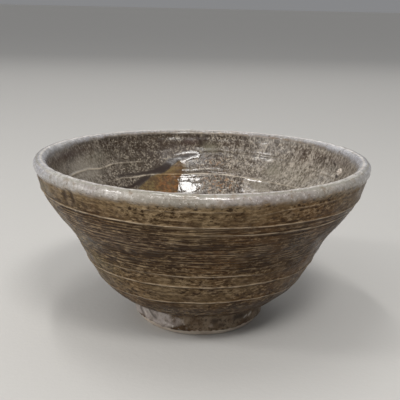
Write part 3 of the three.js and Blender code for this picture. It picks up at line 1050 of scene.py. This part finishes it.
def dark_colour(s, fine):
    """Dark glaze inside: pale grains on dark, streaks, blots and smooth patches, greyer where its
    tone is higher, which in part is painted light and shade.
    """
    tone = s.plus(s.mark("tone"), s.swing(0.35, 50, rough=0.55))
    # Greyer where the tone is higher, which in part is painted light and shade.
    color = s.mix(s.range(tone, -0.9, 1.0), INNER_DARK, INNER_GREY)
    color = s.mix(s.times(s.mark("green"), 0.75), color, GREEN_GREY)
    color = s.mix(s.times(s.mark("red"), 0.75), color, RED_BROWN)
    grainy, streaky = s.mark("grainy"), s.mark("streaky")
    clusters = s.times(s.range(s.noise(300, 2, 0.5), 0.38, 0.56), grainy)
    runs, blots = s.noise(980, rise=0.45), s.noise(230, rise=0.7)
    mottle = s.noise(900, rough=0.65, rise=0.8)
    return s.layers(color, [
        (UMBER, s.noise(120), 0.54, 0.70, 0.35),
        (DARK_BROWN, fine, 0.50, 0.58, 1, grainy),
        (INNER_PALE, s.noise(1100, 2), 0.50, 0.59, 0.75, clusters),
        (INNER_TAUPE, runs, 0.52, 0.60, 0.7, streaky),
        (INNER_DARK, runs, 0.47, 0.39, 0.6, streaky),
        (INNER_DARK, blots, 0.52, 0.64, 0.5, streaky),
        (INNER_TAUPE, blots, 0.46, 0.36, 0.4, streaky),
        (INNER_DARK, mottle, 0.50, 0.62, 0.3),
        (INNER_TAUPE, mottle, 0.45, 0.35, 0.22),
        (WARM_GRAIN, fine, 0.47, 0.38, 0.8, s.mark("warm"))])


def amber_colour(s):
    """Amber run: olive to orange, mottled with brown."""
    orange = s.plus(s.mark("orange"), s.swing(0.5, 130, rise=0.8))
    return s.layers(s.mix(s.range(orange, 0.1, 0.8), AMBER_OLIVE, AMBER), [
        (UMBER, s.noise(220, 4, 0.65, 1.6), 0.47, 0.58, 0.8),
        (AMBER_OLIVE, s.noise(520), 0.50, 0.62, 0.6),
        (UMBER, s.noise(700, rough=0.7, rise=1.5), 0.50, 0.56, 0.75)])


def inside_glaze(name):
    """Dark glaze with its rings, dark runs and amber, under the edge of the pale coat."""
    s = Shader(name)
    fine, amber, rim = s.noise(640, rough=0.65), s.mark("amber"), rim_share(s)
    color = s.mix(amber, dark_colour(s, fine), amber_colour(s))
    worn = s.range(s.noise(170), 0.38, 0.58, 0.3, 0.85)
    line = s.mix(amber, INNER_PALE, AMBER_PALE)
    color = s.layer(color, line, s.mark("crest"), 0.2, 0.8, 1, worn)
    color = s.mix(s.times(s.mark("pool"), 0.94), color, RUN_BROWN)
    color = s.mix(rim, color, pale_colour(s))
    uneven = s.plus(s.mark("gloss"), s.swing(0.35, 420))
    gloss = s.math("MAXIMUM", s.range(uneven, 0.35, 0.75), s.times(rim, 0.75))
    rough = s.plus(s.times(gloss, -0.13), s.range(uneven, -0.2, -0.9, 0.20, 0.52))
    grains = s.times(s.times(fine, s.mark("grainy")), 0.9)
    skin = s.plus(s.times(s.noise(320, rough=0.5), 0.35), grains)
    return s.finish(color, rough, s.bump(skin, 0.00022, 0.6), DARK_SHINE)


def bare_clay(name, pale, dark):
    s = Shader(name)
    color = s.mix(s.range(s.noise(70, 4), 0.35, 0.65), pale, dark)
    color = s.layer(color, dark, s.noise(1100), 0.55, 0.7, 0.6)
    relief = s.plus(s.noise(700, 4), s.noise(180, rough=0.5))
    return s.finish(color, 0.75, s.bump(relief, 0.0004, 0.6), CLAY_SHINE)


def foot_glaze(name):
    """Coat of the foot: cream to the front left, brown elsewhere, with flecks of both."""
    s = Shader(name)
    cover = s.plus(s.mark("cream"), s.swing(0.25, 60))
    brown = s.mix(s.range(s.noise(90), 0.4, 0.6), UMBER, TAUPE)
    bare = s.range(cover, 0.8, 0.2, 0.35, 1)
    color = s.layers(s.mix(s.range(cover, 0.2, 0.8), brown, CREAM), [
        (UMBER, s.noise(210, 4), 0.52, 0.64, 0.6, bare),
        (DARK_BROWN, s.noise(900), 0.52, 0.62, 0.7, bare),
        (FOOT_PALE, s.noise(520), 0.58, 0.66, 1, s.mark("flecks"))])
    color = s.mix(s.times(s.mark("light"), 0.8), color, FOOT_PALE)
    color = s.mix(s.times(s.mark("pool"), 0.95), color, DARK_BROWN)
    skin = s.plus(s.noise(300, rough=0.5), s.times(s.noise(900, 2, 0.5), 0.5))
    return s.finish(color, 0.38, s.bump(skin, 0.0003, 0.6), FOOT_SHINE)


def stone(name):
    s = Shader(name)
    color = s.mix(s.range(s.noise(900, 4), 0.4, 0.6), *STONE)
    return s.finish(color, 0.4, s.bump(s.noise(1200, 4), 0.0004, 0.7), STONE_SHINE)


# The bowl's pieces.

turn_row = ring_of_turns(TURNS)
foot_row = ring_of_turns(FOOT_TURNS)
edge_outside, edge_inside = rim_edges(turn_row)
rim_start, rim_end = path_outside(edge_outside), path_inside(edge_inside)

add_piece("brown_glaze_coat", *coat_surface(0.0, rim_start, OUTER_STATIONS, turn_row),
          True, outside_glaze("brown_glaze_look", BROWN_SHINE), "brown_glaze", "outer_glaze")
add_piece("pale_rim_coat", *coat_surface(rim_start, rim_end, RIM_STATIONS, turn_row),
          True, outside_glaze("pale_glaze_look", PALE_SHINE), "pale_glaze", "rim_glaze")
add_piece("dark_glaze_coat", *coat_surface(rim_end, LENGTH[-1], INNER_STATIONS, turn_row),
          True, inside_glaze("dark_glaze_look"), "dark_glaze", "inner_glaze")
add_piece("amber_run", *amber_surface(),
          False, inside_glaze("amber_glaze_look"), "amber_glaze", "amber_glaze_run")
add_piece("burst_stone_grain", *grain_surface(),
          False, stone("stone_look"), "stone", "stone_grain")
add_piece("turned_foot_ring", *foot_ring_surface(foot_row),
          True, bare_clay("foot_clay_look", *FOOT_CLAY_WITH_PAINTED_LIGHT), "foot_clay", "foot_ring")
add_piece("foot_coat", *foot_coat_surface(foot_row),
          True, foot_glaze("foot_coat_look"), "foot_coat", "foot_glaze")
add_piece("thrown_clay_body", *clay_surface(foot_row),
          False, bare_clay("clay_look", *BODY_CLAY), "clay", "clay_body")


# Camera, from the angle and distance of the photograph.

CAMERA_DISTANCE = 310.0
CAMERA_HEIGHT = 135.16
CAMERA_PITCH = 14.913
CAMERA_ROLL = 1.253
CAMERA_YAW = 0.055
FOCAL_PIXELS = 725.07
FRAME_PIXELS = 400
SENSOR_WIDTH = 36


def add_camera():
    data = bpy.data.cameras.new("camera")
    data.sensor_width = SENSOR_WIDTH
    data.lens = FOCAL_PIXELS / FRAME_PIXELS * SENSOR_WIDTH
    data.clip_start = 0.01
    data.clip_end = 200
    camera = add_object("camera", data)
    camera.matrix_world = (
        Matrix.Translation(Vector((0, -CAMERA_DISTANCE, CAMERA_HEIGHT)) * MM)
        @ Matrix.Rotation(math.radians(CAMERA_YAW), 4, "Z")
        @ Matrix.Rotation(math.radians(90 - CAMERA_PITCH), 4, "X")
        @ Matrix.Rotation(math.radians(CAMERA_ROLL), 4, "Z"))
    bpy.context.scene.camera = camera


# Floor and lights, in metres. A window has its place, its aim, its two sizes and its power.

FLOOR_HALF = 60
SQUARE = [(-1, -1), (1, -1), (1, 1), (-1, 1)]
FLOOR_GREY = (0.50, 0.49, 0.47)
WINDOW_LIGHT = (1, 0.985, 0.965)
ROOM_LIGHT = (0.96, 0.97, 1.0, 1)
ROOM_POWER = 0.25
SKY_POWER = 0.6
WINDOWS = {
    "window": ((0.19, -0.66, 1.0), (0, 0.03, 0.05), 0.30, 0.20, 5.6),
    "strip": ((-0.16, -0.74, 0.92), (0, 0.03, 0.05), 0.80, 0.03, 1.6),
    "ceiling_strip": ((-0.13, -0.03, 1.0), (0, 0.0, 0.05), 0.50, 0.06, 2.0),
    "left_window": ((-0.85, -0.42, 0.85), (0, 0.03, 0.05), 0.20, 0.16, 3.0),
    "side": ((-1.1, -0.55, 0.35), (0, 0, 0.03), 0.9, 0.6, 4.5),
    "pale_wall": ((-0.1, 1.2, 0.85), (0, 0, 0.05), 2.2, 0.5, 3.8),
}


def add_floor():
    mesh = bpy.data.meshes.new("floor")
    corners = [(x * FLOOR_HALF, y * FLOOR_HALF, 0) for x, y in SQUARE]
    mesh.from_pydata(corners, [], [(0, 1, 2, 3)])
    s = Shader("floor_look")
    grit = s.bump(s.noise(400), 0.0001)
    mesh.materials.append(s.finish(FLOOR_GREY, 0.9, grit, FLOOR_SHINE))
    add_object("floor", mesh)


def add_light(name, kind, place, aim, power):
    data = bpy.data.lights.new(name, kind)
    data.energy = power
    toward = (Vector(aim) - Vector(place)).to_track_quat("-Z", "Y")
    turned = toward.to_matrix().to_4x4()
    add_object(name, data).matrix_world = Matrix.Translation(place) @ turned
    return data


def add_window(name, place, aim, width, depth, power):
    data = add_light(name, "AREA", place, aim, power)
    data.shape = "RECTANGLE"
    data.size, data.size_y = width, depth
    data.color = WINDOW_LIGHT


def add_lights():
    for name, window in WINDOWS.items():
        add_window(name, *window)
    sky = add_light("sky", "SUN", (0, 0, 2), (0.1, 0.1, 0), SKY_POWER)
    sky.angle = math.radians(100)
    world = bpy.data.worlds.new("studio")
    world.use_nodes = True
    background = world.node_tree.nodes["Background"].inputs
    background["Color"].default_value = ROOM_LIGHT
    background["Strength"].default_value = ROOM_POWER
    bpy.context.scene.world = world


add_camera()
add_floor()
add_lights()
bpy.context.scene.view_settings.view_transform = "Standard"
